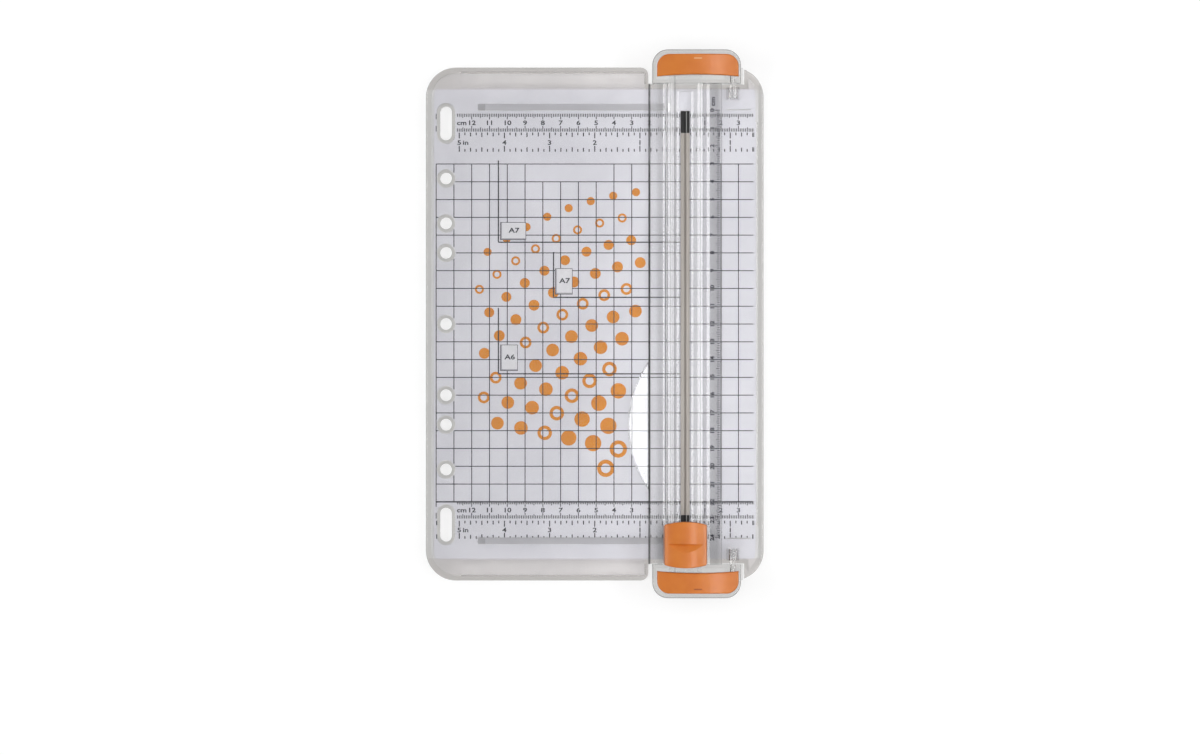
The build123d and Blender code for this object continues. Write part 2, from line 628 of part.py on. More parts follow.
# End caps: clear blocks with a pocket above, a hollow below and the hinge bore
for end, side in ENDS:
    cap_y0 = side * RAIL_END
    cap_y1 = side * (RAIL_END + CAP_L)
    with BuildPart() as end_cap:
        with BuildSketch(Plane.XY.offset(CAP_GROUND)) as cap_plan:
            with Locations((CAP_MID_X, (cap_y0 + cap_y1) / 2)):
                Rectangle(CAP_W, CAP_L)
            outer_corners = cap_plan.vertices().sort_by_distance((CAP_MID_X, 2 * cap_y1))[0:2]
            fillet(outer_corners, CAP_CORNER_R)
        extrude(amount=CAP_TOP - CAP_GROUND)
        fillet(end_cap.faces().sort_by(Axis.Z)[-1].edges().filter_by(GeomType.CIRCLE), CAP_EDGE_R)
        with BuildSketch(Plane.XY.offset(CAP_GROUND)):
            with Locations((CAP_X1, cap_y0 + side * CAP_FLANGE_L / 2)):
                Rectangle(2 * CAP_FLANGE_W, CAP_FLANGE_L)
        extrude(amount=CAP_FLANGE_TOP - CAP_GROUND)
        with BuildSketch(Plane.XY.offset(INSERT_FLOOR)):
            insert_plan(side, 0)
        extrude(amount=CAP_TOP - INSERT_FLOOR, mode=Mode.SUBTRACT)
        with BuildSketch(Plane.XY.offset(CAP_GROUND)) as hollow_plan:
            hollow_x0 = CAP_X0 + CAP_WALL
            hollow_x1 = HINGE_X - CAP_HEEL
            with Locations(((hollow_x0 + hollow_x1) / 2, (cap_y0 + cap_y1) / 2)):
                Rectangle(hollow_x1 - hollow_x0, CAP_L - 2 * CAP_WALL)
            hollow_corner = hollow_plan.vertices().sort_by_distance((CAP_X0, cap_y1))[0]
            fillet(hollow_corner, CAP_CORNER_R - CAP_WALL)
        extrude(amount=CAP_HOLLOW_TOP - CAP_GROUND, mode=Mode.SUBTRACT)
        with BuildSketch(Plane.XY.offset(TONGUE_Z - TONGUE_GAP)):
            with Locations((CUT_X, cap_y0 + side * TONGUE_ROOM[1] / 2)):
                Rectangle(TONGUE_ROOM[0], TONGUE_ROOM[1])
        extrude(amount=TONGUE_ROOM[2], mode=Mode.SUBTRACT)
        with BuildSketch(Plane.XY.offset(CAP_HOLLOW_TOP)):
            with Locations((CUT_X, cap_y0 + side * SCREW_Y)):
                with GridLocations(SCREW_SPREAD, 0, 2, 1):
                    Circle(SCREW_R + SCREW_FIT)
        extrude(amount=INSERT_FLOOR - CAP_HOLLOW_TOP, mode=Mode.SUBTRACT)
        with BuildSketch(across(HINGE_X, side * PIN_Y, HINGE_Z)):
            Circle(PIN_R + PIN_FIT)
        extrude(amount=PIN_L / 2 + PIN_END_GAP, both=True, mode=Mode.SUBTRACT)
    end_cap.part.label = f"end_cap_{end}"
    export_step(end_cap.part, f"parts/end_cap_{end}.step")

# Coloured covers: crowned skins that drop into the pockets of the caps
with BuildPart() as cap_insert_lower:
    with BuildSketch(Plane.XY.offset(INSERT_FLOOR)):
        insert_plan(-1, INSERT_GAP)
    extrude(amount=INSERT_TOP - INSERT_FLOOR)
    with BuildSketch(across(CAP_MID_X, -RAIL_END - CAP_L / 2)):
        with BuildLine():
            crown_foot = INSERT_TOP - INSERT_CROWN
            ThreePointArc((-CAP_W / 2, crown_foot), (0, INSERT_TOP), (CAP_W / 2, crown_foot))
            Polyline(
                (CAP_W / 2, crown_foot),
                (CAP_W / 2, INSERT_FLOOR),
                (-CAP_W / 2, INSERT_FLOOR),
                (-CAP_W / 2, crown_foot),
            )
        make_face()
    extrude(amount=CAP_L, both=True, mode=Mode.INTERSECT)
    fillet(cap_insert_lower.faces().sort_by(Axis.Z)[-1].edges(), INSERT_EDGE_R)
    with BuildSketch(Plane.XY.offset(INSERT_FLOOR)):
        insert_plan(-1, INSERT_GAP + INSERT_SKIN)
    extrude(amount=INSERT_TOP - INSERT_CROWN - INSERT_SKIN - INSERT_FLOOR, mode=Mode.SUBTRACT)
    with BuildSketch(Plane.XY.offset(INSERT_TOP - INSERT_SKIN / 2)):
        with Locations((INSERT_MID_X, INSERT_OUTER_MARGIN + INSERT_DASH_INSET - RAIL_END - CAP_L)):
            SlotOverall(INSERT_DASH_L, INSERT_DASH_W)
    extrude(amount=INSERT_SKIN / 2 + INSERT_DASH_H)
cap_insert_lower.part.label = "cap_insert_lower"
export_step(cap_insert_lower.part, "parts/cap_insert_lower.step")

with BuildPart() as cap_insert_upper:
    mirror(cap_insert_lower.part, about=Plane.XZ)
cap_insert_upper.part.label = "cap_insert_upper"
export_step(cap_insert_upper.part, "parts/cap_insert_upper.step")

# Cap screws, two in each cap, under the covers
with BuildPart() as cap_screws:
    with BuildSketch(Plane.XY.offset(CAP_HOLLOW_TOP + SCREW_END)):
        with GridLocations(0, 2 * (RAIL_END + SCREW_Y), 1, 2):
            with Locations((CUT_X - SCREW_SPREAD / 2, 0), (CUT_X + SCREW_SPREAD / 2, 0)):
                Circle(SCREW_R)
    extrude(amount=INSERT_FLOOR - CAP_HOLLOW_TOP - SCREW_END)
    with BuildSketch(Plane.XY.offset(INSERT_FLOOR)):
        with GridLocations(0, 2 * (RAIL_END + SCREW_Y), 1, 2):
            with Locations((CUT_X - SCREW_SPREAD / 2, 0), (CUT_X + SCREW_SPREAD / 2, 0)):
                Circle(SCREW_HEAD_R)
    extrude(amount=SCREW_HEAD_H)
    with BuildSketch(Plane.XY.offset(INSERT_FLOOR + SCREW_HEAD_H)):
        with GridLocations(0, 2 * (RAIL_END + SCREW_Y), 1, 2):
            with Locations((CUT_X - SCREW_SPREAD / 2, 0), (CUT_X + SCREW_SPREAD / 2, 0)):
                Rectangle(SCREW_CROSS_L, SCREW_CROSS_W)
                Rectangle(SCREW_CROSS_W, SCREW_CROSS_L)
    extrude(amount=-SCREW_CROSS_DEPTH, mode=Mode.SUBTRACT)
cap_screws.part.label = "cap_screws"
export_step(cap_screws.part, "parts/cap_screws.step")

# Carriage shoe: runs in the rail's cavity, with a well for the blade holder
with BuildPart() as carriage_shoe:
    with BuildSketch(Plane.XY.offset(SHOE_Z)):
        with Locations((CUT_X, -PARK_Y)):
            Rectangle(CAVITY_W - 2 * SHOE_GAP, 2 * SHOE_HALF_L)
    extrude(amount=SHOE_TOP - SHOE_Z)
    with BuildSketch(Plane.XY.offset(SHOE_TOP)):
        with Locations((CUT_X, -PARK_Y)):
            Rectangle(TOP_SLOT_W - 2 * NECK_GAP, 2 * NECK_HALF_L)
    extrude(amount=NECK_TOP - SHOE_TOP)
    with BuildSketch(Plane.XY.offset(SHOE_Z)):
        with Locations((CUT_X, -PARK_Y)):
            Rectangle(HOLDER_W + 2 * WELL_GAP, HOLDER_L + 2 * WELL_GAP)
    extrude(amount=NECK_TOP - SHOE_Z, mode=Mode.SUBTRACT)
    with BuildSketch(Plane.XY.offset(SPRING_FLOOR)):
        with Locations((CUT_X, -PARK_Y - SPRING_Y), (CUT_X, -PARK_Y + SPRING_Y)):
            Circle(SPRING_R + SPRING_WIRE_R + SPRING_GAP)
    extrude(amount=NECK_TOP - SPRING_FLOOR, mode=Mode.SUBTRACT)
carriage_shoe.part.label = "carriage_shoe"
export_step(carriage_shoe.part, "parts/carriage_shoe.step")

# Blade holder: a stem from the thumb slider down to the blade
with BuildPart() as blade_holder:
    holder_top = ROOM_TOP + SOCKET_DEPTH
    with BuildSketch(Plane.XY.offset(HOLDER_BOTTOM)):
        with Locations((CUT_X, -PARK_Y)):
            Rectangle(HOLDER_W, HOLDER_L)
    extrude(amount=holder_top - HOLDER_BOTTOM)
    with BuildSketch(Plane.XY.offset(HOLDER_BOTTOM)):
        with Locations((CUT_X, -PARK_Y)):
            Rectangle(BLADE_T + 2 * BLADE_GAP, BLADE_L + 2 * BLADE_GAP)
    extrude(amount=BLADE_TOP + BLADE_GAP - HOLDER_BOTTOM, mode=Mode.SUBTRACT)
    with BuildSketch(along(CUT_X, -PARK_Y, BLADE_PIN_Z)):
        Circle(BLADE_PIN_R + BLADE_PIN_FIT)
    extrude(amount=HOLDER_W / 2, both=True, mode=Mode.SUBTRACT)
blade_holder.part.label = "blade_holder"
export_step(blade_holder.part, "parts/blade_holder.step")

# Blade: ground to a point so that it cuts on the way up and on the way back
with BuildPart() as cutting_blade:
    with BuildSketch(along(CUT_X, -PARK_Y)):
        with BuildLine():
            Polyline(
                (0, BLADE_TIP),
                (BLADE_L / 2, BLADE_SHOULDER),
                (BLADE_L / 2, BLADE_TOP),
                (-BLADE_L / 2, BLADE_TOP),
                (-BLADE_L / 2, BLADE_SHOULDER),
                close=True,
            )
        make_face()
        with Locations((0, BLADE_PIN_Z)):
            Circle(BLADE_PIN_R + BLADE_PIN_FIT, mode=Mode.SUBTRACT)
    extrude(amount=BLADE_T / 2, both=True)
cutting_blade.part.label = "cutting_blade"
export_step(cutting_blade.part, "parts/cutting_blade.step")

# Pin through the holder and the blade
with BuildPart() as blade_pin:
    with BuildSketch(along(CUT_X, -PARK_Y, BLADE_PIN_Z)):
        Circle(BLADE_PIN_R)
    extrude(amount=HOLDER_W / 2, both=True)
blade_pin.part.label = "blade_pin"
export_step(blade_pin.part, "parts/blade_pin.step")

# Two coil springs between the shoe and the thumb slider
with BuildPart() as blade_springs:
    coil_z = SPRING_FLOOR + SPRING_WIRE_R + SPRING_END_GAP
    coil_h = ROOM_TOP - SPRING_WIRE_R - SPRING_END_GAP - coil_z
    for spring_y in (-PARK_Y - SPRING_Y, -PARK_Y + SPRING_Y):
        with BuildLine(Plane.XY):
            coil = Helix(coil_h / SPRING_TURNS, coil_h, SPRING_R, center=(CUT_X, spring_y, coil_z))
        with BuildSketch(Plane(origin=coil @ 0, z_dir=coil % 0)):
            Circle(SPRING_WIRE_R)
        sweep(path=coil, is_frenet=True)
blade_springs.part.label = "blade_springs"
export_step(blade_springs.part, "parts/blade_springs.step")
coil_length = SPRING_TURNS * sqrt((2 * pi * SPRING_R) ** 2 + (coil_h / SPRING_TURNS) ** 2)
print("spring volume", blade_springs.part.volume, "wire", 2 * pi * SPRING_WIRE_R ** 2 * coil_length)
print("least gap between turns", coil_h / SPRING_TURNS - 2 * SPRING_WIRE_R)

# Thumb slider: crowned saddle with a finger grip, skirts beside the rail and room for the springs
with BuildPart() as thumb_slider:
    with BuildSketch(Plane((CUT_X, -PARK_Y, SKIRT_BOTTOM))) as thumb_plan:
        with BuildLine():
            half_w = THUMB_W / 2
            end_y = THUMB_L / 2 - THUMB_BOW
            ThreePointArc((-half_w, end_y), (0, THUMB_L / 2), (half_w, end_y))
            Line((half_w, end_y), (half_w, -end_y))
            ThreePointArc((half_w, -end_y), (0, -THUMB_L / 2), (-half_w, -end_y))
            Line((-half_w, -end_y), (-half_w, end_y))
        make_face()
        fillet(thumb_plan.vertices(), THUMB_CORNER_R)
    extrude(amount=THUMB_TOP - SKIRT_BOTTOM)
    with BuildSketch(across(CUT_X, -PARK_Y)):
        with BuildLine():
            top_w = THUMB_W / 2 - THUMB_DRAFT
            crown_foot = THUMB_TOP - THUMB_CROWN
            ThreePointArc((-top_w, crown_foot), (0, THUMB_TOP), (top_w, crown_foot))
            Polyline(
                (top_w, crown_foot),
                (THUMB_W / 2, SKIRT_BOTTOM),
                (-THUMB_W / 2, SKIRT_BOTTOM),
                (-top_w, crown_foot),
            )
        make_face()
    extrude(amount=THUMB_L, both=True, mode=Mode.INTERSECT)
    fillet(thumb_slider.faces().sort_by(Axis.Z)[-1].edges(), THUMB_EDGE_R)
    with BuildSketch(along(CUT_X, -PARK_Y)):
        with BuildLine():
            Polyline(
                (GRIP_EDGE, THUMB_TOP),
                (GRIP_EDGE, THUMB_TOP - GRIP_DEPTH),
                (GRIP_EDGE - GRIP_LENGTH, THUMB_TOP),
                close=True,
            )
        make_face()
    extrude(amount=THUMB_W, both=True, mode=Mode.SUBTRACT)
    with BuildSketch(across(CUT_X, -PARK_Y)):
        with Locations((0, (SKIRT_BOTTOM + THUMB_UNDER) / 2)):
            Rectangle(CHANNEL_W + 2 * SKIRT_GAP, THUMB_UNDER - SKIRT_BOTTOM)
    extrude(amount=THUMB_L, both=True, mode=Mode.SUBTRACT)
    with BuildSketch(Plane.XY.offset(SKIRT_BOTTOM)):
        with Locations((CUT_X, -PARK_Y)):
            Rectangle(2 * THUMB_W, 2 * THUMB_L)
            Rectangle(2 * THUMB_W, 2 * SHOE_HALF_L, mode=Mode.SUBTRACT)
    extrude(amount=OVERHANG_BOTTOM - SKIRT_BOTTOM, mode=Mode.SUBTRACT)
    with BuildSketch(Plane.XY.offset(THUMB_UNDER)):
        with Locations((CUT_X, -PARK_Y)):
            Rectangle(THUMB_ROOM_W, 2 * (NECK_HALF_L + THUMB_ROOM_GAP))
    extrude(amount=THUMB_ROOM_H, mode=Mode.SUBTRACT)
    with BuildSketch(Plane.XY.offset(ROOM_TOP)):
        with Locations((CUT_X, -PARK_Y)):
            Rectangle(HOLDER_W + 2 * SOCKET_GAP, HOLDER_L + 2 * SOCKET_GAP)
    extrude(amount=SOCKET_DEPTH, mode=Mode.SUBTRACT)
thumb_slider.part.label = "thumb_slider"
export_step(thumb_slider.part, "parts/thumb_slider.step")
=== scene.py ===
# %% [markdown]
# # A desk paper trimmer in clear plastic
# The trimmer arrives as CAD nodes that already sit in the right place, in metres.
# They form a fixed frame: nothing in this lesson moves them or edits their meshes.
# The lesson adds what CAD does not carry: finishes, the print, light and a camera.

# %% Load the frame
import math

import bmesh
import bpy
from mathutils import Matrix, Vector


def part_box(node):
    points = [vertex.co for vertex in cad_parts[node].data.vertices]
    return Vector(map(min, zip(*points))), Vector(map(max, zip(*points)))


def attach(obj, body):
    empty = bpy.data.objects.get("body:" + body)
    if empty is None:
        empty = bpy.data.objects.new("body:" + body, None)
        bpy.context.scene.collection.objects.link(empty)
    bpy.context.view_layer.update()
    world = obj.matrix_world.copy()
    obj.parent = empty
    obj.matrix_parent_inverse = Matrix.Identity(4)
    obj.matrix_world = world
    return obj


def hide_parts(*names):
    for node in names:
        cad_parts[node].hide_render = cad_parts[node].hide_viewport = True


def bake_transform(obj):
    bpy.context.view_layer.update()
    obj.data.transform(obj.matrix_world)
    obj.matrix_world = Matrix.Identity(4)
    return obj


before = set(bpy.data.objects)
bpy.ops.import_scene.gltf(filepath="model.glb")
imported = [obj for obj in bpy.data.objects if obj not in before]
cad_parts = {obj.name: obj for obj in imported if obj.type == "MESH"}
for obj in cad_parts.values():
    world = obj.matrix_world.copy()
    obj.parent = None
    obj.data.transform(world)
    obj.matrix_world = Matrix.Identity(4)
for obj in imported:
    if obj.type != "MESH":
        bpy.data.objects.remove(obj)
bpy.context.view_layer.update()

scene = bpy.context.scene

# %% [markdown]
# ## Camera
# The trimmer lies on a table and is seen from straight above.
# A long lens far away keeps the raised rail from leaning outwards, as in a catalogue picture.
# The frame is 1200 by 755 pixels, so its width in millimetres sets the distance.

# %% Place the camera
MM = 0.001
DECK_TOP = 9.2
FRAME_WIDTH = 674.4
LENS = 135.0
SENSOR = 36.0
AIM = (2.95, -30.07)

camera_data = bpy.data.cameras.new("overhead_camera")
camera_data.lens = LENS
camera_data.sensor_width = SENSOR
camera_data.sensor_fit = "HORIZONTAL"
camera = bpy.data.objects.new("overhead_camera", camera_data)
camera_height = DECK_TOP + FRAME_WIDTH * LENS / SENSOR
camera.location = (AIM[0] * MM, AIM[1] * MM, camera_height * MM)
scene.collection.objects.link(camera)
scene.camera = camera
print("camera stands", round(camera_height), "mm above the table")

# %% [markdown]
# ## Stage and light
# Clear plastic shows what is around it, so the surroundings are half of its look.
# A white floor and a white world give the pale edges. Long soft boxes beside the trimmer give
# the bright stripes that run along a rail: each rounded edge mirrors one box as one stripe.
# The key box, almost overhead, would also throw hard shadows on the card. So it gives glare alone,
# and a wide, even lamp above it lights the matt surfaces.

# %% Floor
FLOOR_HALF = 4.0
FLOOR_GLOW = 0.65
FLOOR_GREY = (0.42, 0.42, 0.42, 1)

floor_mesh = bpy.data.meshes.new("floor")
corners = ((-1, -1), (1, -1), (1, 1), (-1, 1))
floor_mesh.from_pydata([(x * FLOOR_HALF, y * FLOOR_HALF, 0.0) for x, y in corners], [], [(0, 1, 2, 3)])
floor = bpy.data.objects.new("floor", floor_mesh)
scene.collection.objects.link(floor)


def new_material(name):
    """A material with an empty node tree and its output."""
    material = bpy.data.materials.new(name)
    material.use_nodes = True
    material.node_tree.nodes.clear()
    output = material.node_tree.nodes.new("ShaderNodeOutputMaterial")
    return material, material.node_tree, output


def seen_rays(tree):
    """1 for camera, mirrored and transmitted rays, 0 for rays that only carry light."""
    path = tree.nodes.new("ShaderNodeLightPath")
    either = tree.nodes.new("ShaderNodeMath")
    either.operation = "MAXIMUM"
    tree.links.new(path.outputs["Is Camera Ray"], either.inputs[0])
    tree.links.new(path.outputs["Is Glossy Ray"], either.inputs[1])
    seen = tree.nodes.new("ShaderNodeMath")
    seen.operation = "MAXIMUM"
    tree.links.new(either.outputs[0], seen.inputs[0])
    tree.links.new(path.outputs["Is Transmission Ray"], seen.inputs[1])
    return seen.outputs[0]


paper, tree, output = new_material("studio_paper")
matte = tree.nodes.new("ShaderNodeBsdfDiffuse")
matte.inputs["Color"].default_value = FLOOR_GREY
glow = tree.nodes.new("ShaderNodeEmission")
glow_level = tree.nodes.new("ShaderNodeMath")
glow_level.operation = "MULTIPLY"
glow_level.inputs[1].default_value = FLOOR_GLOW
tree.links.new(seen_rays(tree), glow_level.inputs[0])
tree.links.new(glow_level.outputs[0], glow.inputs["Strength"])
both = tree.nodes.new("ShaderNodeAddShader")
tree.links.new(matte.outputs[0], both.inputs[0])
tree.links.new(glow.outputs[0], both.inputs[1])
tree.links.new(both.outputs[0], output.inputs["Surface"])
floor_mesh.materials.append(paper)
print("floor is", 2 * FLOOR_HALF, "m wide")

# %% White world
WORLD_LIGHT = 0.42
CEILING = 0.4
CEILING_FROM = 0.55

scene.view_settings.view_transform = "Standard"
world = bpy.data.worlds.new("white_room")
scene.world = world
world.use_nodes = True
tree = world.node_tree
tree.nodes.clear()
direction = tree.nodes.new("ShaderNodeTexCoord")
split = tree.nodes.new("ShaderNodeSeparateXYZ")
tree.links.new(direction.outputs["Generated"], split.inputs[0])
backdrop = tree.nodes.new("ShaderNodeMapRange")
backdrop.inputs["From Max"].default_value = CEILING_FROM
backdrop.inputs["To Min"].default_value = 1.0
backdrop.inputs["To Max"].default_value = CEILING
tree.links.new(split.outputs["Z"], backdrop.inputs["Value"])
level = tree.nodes.new("ShaderNodeMapRange")
level.inputs["To Min"].default_value = WORLD_LIGHT
tree.links.new(backdrop.outputs["Result"], level.inputs["To Max"])
tree.links.new(seen_rays(tree), level.inputs["Value"])
sky = tree.nodes.new("ShaderNodeBackground")
tree.links.new(level.outputs["Result"], sky.inputs["Strength"])
world_output = tree.nodes.new("ShaderNodeOutputWorld")
tree.links.new(sky.outputs[0], world_output.inputs["Surface"])
print("world gives", WORLD_LIGHT, "of the light, white at the horizon, ceiling", CEILING)

# %% Soft boxes


def soft_box(name, tilt, width, length, glare, distance=1.7):
    """A flat lamp that faces the trimmer: tilt in degrees from overhead, towards +X; sizes in metres."""
    lamp = bpy.data.lights.new(name, "AREA")
    lamp.shape = "RECTANGLE"
    lamp.size = width
    lamp.size_y = length
    lamp.energy = glare * width * length * math.pi
    box = bpy.data.objects.new(name, lamp)
    lean = math.radians(tilt)
    box.location = (distance * math.sin(lean), 0.0, distance * math.cos(lean))
    box.rotation_euler = (0.0, lean, 0.0)
    scene.collection.objects.link(box)
    return box


key_box = soft_box("key_box", 21.0, 0.34, 2.2, 5.0)
left_box = soft_box("left_box", -48.0, 0.4, 1.1, 4.6)
right_box = soft_box("right_box", 49.0, 0.34, 1.1, 5.6)
print("soft boxes:", key_box.name, left_box.name, right_box.name)

# %% Even light
even_light = soft_box("even_light", 0.0, 3.0, 3.6, 1.0, 3.0)
even_light.visible_camera = False
even_light.visible_glossy = False
key_box.visible_diffuse = False
print("even light is", even_light.data.size, "m wide")

# %% [markdown]
# ## Finishes for moulded pieces
# Moulded plastic is never one flat colour: the tone drifts a little, the gloss changes from patch
# to patch and the skin has a fine texture. Noise in object coordinates gives all three. The CAD
# nodes sit at the origin, so object coordinates are the real place, and a size in mm stays a size in mm.

# %% Helpers for finishes
NOISE_LOW = 0.3
NOISE_HIGH = 0.7
BUMP_STRENGTH = 0.5


def grain(tree, size, detail=3.0, stretch=(1.0, 1.0, 1.0)):
    """Noise from 0 to 1 whose patches are about size millimetres wide."""
    place = tree.nodes.new("ShaderNodeTexCoord")
    scale = tree.nodes.new("ShaderNodeMapping")
    scale.inputs["Scale"].default_value = [s / (size * MM) for s in stretch]
    noise = tree.nodes.new("ShaderNodeTexNoise")
    noise.inputs["Scale"].default_value = 1.0
    noise.inputs["Detail"].default_value = detail
    tree.links.new(place.outputs["Object"], scale.inputs["Vector"])
    tree.links.new(scale.outputs["Vector"], noise.inputs["Vector"])
    return noise.outputs["Fac"]


def spread(tree, value, low, high):
    """The middle part of a noise, spread between two numbers."""
    level = tree.nodes.new("ShaderNodeMapRange")
    level.inputs["From Min"].default_value = NOISE_LOW
    level.inputs["From Max"].default_value = NOISE_HIGH
    level.inputs["To Min"].default_value = low
    level.inputs["To Max"].default_value = high
    tree.links.new(value, level.inputs["Value"])
    return level.outputs["Result"]


def shades(tree, value, dark, light):
    """A colour between two shades."""
    ramp = tree.nodes.new("ShaderNodeValToRGB")
    ramp.color_ramp.elements[0].position = NOISE_LOW
    ramp.color_ramp.elements[0].color = (*dark, 1)
    ramp.color_ramp.elements[1].position = NOISE_HIGH
    ramp.color_ramp.elements[1].color = (*light, 1)
    tree.links.new(value, ramp.inputs["Fac"])
    return ramp.outputs["Color"]


def skin(tree, value, depth):
    """A bumpy skin, depth in millimetres."""
    bump = tree.nodes.new("ShaderNodeBump")
    bump.inputs["Strength"].default_value = BUMP_STRENGTH
    bump.inputs["Distance"].default_value = depth * MM
    tree.links.new(value, bump.inputs["Height"])
    return bump.outputs["Normal"]


def place_along(tree, axis, kind="Object"):
    """One object coordinate, in metres; with kind Normal, how far a face looks along that axis."""
    place = tree.nodes.new("ShaderNodeTexCoord")
    split = tree.nodes.new("ShaderNodeSeparateXYZ")
    tree.links.new(place.outputs[kind], split.inputs[0])
    return split.outputs[axis]


def sums(tree, operation, first, *numbers):
    """A Math node; its first input is a socket, the others are sockets or plain numbers."""
    node = tree.nodes.new("ShaderNodeMath")
    node.operation = operation
    tree.links.new(first, node.inputs[0])
    for socket, number in zip(node.inputs[1:], numbers):
        if isinstance(number, float):
            socket.default_value = number
        else:
            tree.links.new(number, socket)
    return node.outputs[0]


def mixed(tree, blend, share, first, second):
    """Two colours mixed; the share and the second colour are sockets or plain values."""
    mix = tree.nodes.new("ShaderNodeMix")
    mix.data_type = "RGBA"
    mix.blend_type = blend
    tree.links.new(first, mix.inputs["A"])
    for name, value in (("Factor", share), ("B", second)):
        if isinstance(value, (float, tuple)):
            mix.inputs[name].default_value = value
        else:
            tree.links.new(value, mix.inputs[name])
    return mix.outputs["Result"]


# %% A finish, and how it gets onto a node
GLOSS_PATCH = 0.4


def finish(name, dark, light, patch, rough, skin_size, skin_depth, stretch=(1.0, 1.0, 1.0)):
    """A Principled finish: shades that drift over patches, a range of gloss and a fine skin, in mm."""
    material, tree, output = new_material(name)
    surface = tree.nodes.new("ShaderNodeBsdfPrincipled")
    drift = grain(tree, patch, detail=4.0, stretch=stretch)
    tree.links.new(shades(tree, drift, dark, light), surface.inputs["Base Color"])
    gloss = grain(tree, patch * GLOSS_PATCH, detail=3.0, stretch=stretch)
    tree.links.new(spread(tree, gloss, *rough), surface.inputs["Roughness"])
    texture = grain(tree, skin_size, detail=2.0, stretch=stretch)
    tree.links.new(skin(tree, texture, skin_depth), surface.inputs["Normal"])
    tree.links.new(surface.outputs[0], output.inputs["Surface"])
    return material, surface


def tone(red, green, blue):
    """A colour as a screen shows it, 0 to 255, turned into linear light."""
    shares = [c / 255 for c in (red, green, blue)]
    return tuple(s / 12.92 if s <= 0.04045 else ((s + 0.055) / 1.055) ** 2.4 for s in shares)


def dress(material, *names):
    """Give CAD nodes a finish."""
    for name in names:
        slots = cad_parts[name].data.materials
        slots.clear()
        slots.append(material)
    print(material.name, "on", ", ".join(names))


# %% Card, back plate, feet and strip
ALONG_CUT = (1, 0.08, 1)

card, _ = finish("card", tone(224, 224, 233), tone(233, 233, 241), 22.0, (0.5, 0.65), 0.4, 0.01)
dress(card, "grid_sheet")

plate, _ = finish("plate", tone(222, 222, 224), tone(231, 231, 232), 12.0, (0.45, 0.6), 0.5, 0.02)
dress(plate, "back_plate")

rubber, _ = finish("rubber", tone(62, 62, 64), tone(80, 80, 82), 3.0, (0.75, 0.9), 0.3, 0.03)
dress(rubber, "rubber_feet")

strip, _ = finish("strip", tone(164, 157, 151), tone(177, 171, 165), 6.0, (0.4, 0.6), 0.5, 0.02, ALONG_CUT)
dress(strip, "cutting_strip")

# %% Black end blocks, with a painted glint on the edge of their groove
GROOVE_EDGE = 51.5
GROOVE_EDGE_HALF = 0.22
GROOVE_PAINTED_GLINT = (0.3, 0.3, 0.3, 1.0)

black, black_surface = finish("black", tone(9, 9, 11), tone(16, 16, 19), 2.0, (0.35, 0.5), 0.3, 0.01)
tree = black.node_tree
# A thin light line painted on the black, where the edge of the groove catches the light
painted_glint_line = sums(tree, "COMPARE", place_along(tree, "X"), GROOVE_EDGE * MM, GROOVE_EDGE_HALF * MM)
ground = black_surface.inputs["Base Color"].links[0].from_socket
tree.links.new(mixed(tree, "MIX", painted_glint_line, ground, GROOVE_PAINTED_GLINT), black_surface.inputs["Base Color"])
dress(black, "strip_end_upper", "strip_end_lower")

# %% Orange slider, with a thin gloss coat
DEEP_ORANGE = tone(214, 114, 24)
LIGHT_ORANGE = tone(222, 127, 36)
COAT = 0.2
COAT_ROUGH = 0.15

orange, orange_surface = finish("orange", DEEP_ORANGE, LIGHT_ORANGE, 9.0, (0.28, 0.4), 0.35, 0.008)
orange_surface.inputs["Coat Weight"].default_value = COAT
orange_surface.inputs["Coat Roughness"].default_value = COAT_ROUGH
dress(orange, "thumb_slider")

# %% Covers with a raised mark: a painted highlight on it at one end and painted shade at the other
MARK_DEPTH = 0.25
MARK_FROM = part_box("cap_insert_upper")[1].z - MARK_DEPTH * MM
# The mark's colours are painted light: a highlight on the upper cover and shade on the lower one
PAINTED_LIT_MARK = (*tone(238, 180, 122), 1.0)
PAINTED_SHADED_MARK = (*tone(170, 84, 24), 1.0)

covers = orange.copy()
covers.name = "orange_covers"
tree = covers.node_tree
surface = next(n for n in tree.nodes if n.type == "BSDF_PRINCIPLED")
body_colour = surface.inputs["Base Color"].links[0].from_socket
raised = sums(tree, "GREATER_THAN", place_along(tree, "Z"), MARK_FROM)
upper_end = sums(tree, "GREATER_THAN", place_along(tree, "Y"), 0.0)
lower_end = sums(tree, "LESS_THAN", place_along(tree, "Y"), 0.0)
colour = mixed(tree, "MIX", sums(tree, "MULTIPLY", raised, upper_end), body_colour, PAINTED_LIT_MARK)
colour = mixed(tree, "MIX", sums(tree, "MULTIPLY", raised, lower_end), colour, PAINTED_SHADED_MARK)
tree.links.new(colour, surface.inputs["Base Color"])
dress(covers, "cap_insert_upper", "cap_insert_lower")

# %% Steel and the dark runner
GROUND_UPRIGHT = (1, 1, 0.2)
DULL_STEEL = tone(186, 187, 190)
BRIGHT_STEEL = tone(208, 209, 211)

steel, steel_surface = finish("steel", DULL_STEEL, BRIGHT_STEEL, 2.0, (0.2, 0.35), 0.2, 0.004, GROUND_UPRIGHT)
steel_surface.inputs["Metallic"].default_value = 1.0
dress(steel, "cap_screws", "cutting_blade", "blade_pin", "blade_springs")

runner, _ = finish("runner", tone(86, 86, 88), tone(104, 104, 106), 4.0, (0.4, 0.55), 0.3, 0.01)
dress(runner, "carriage_shoe", "blade_holder")

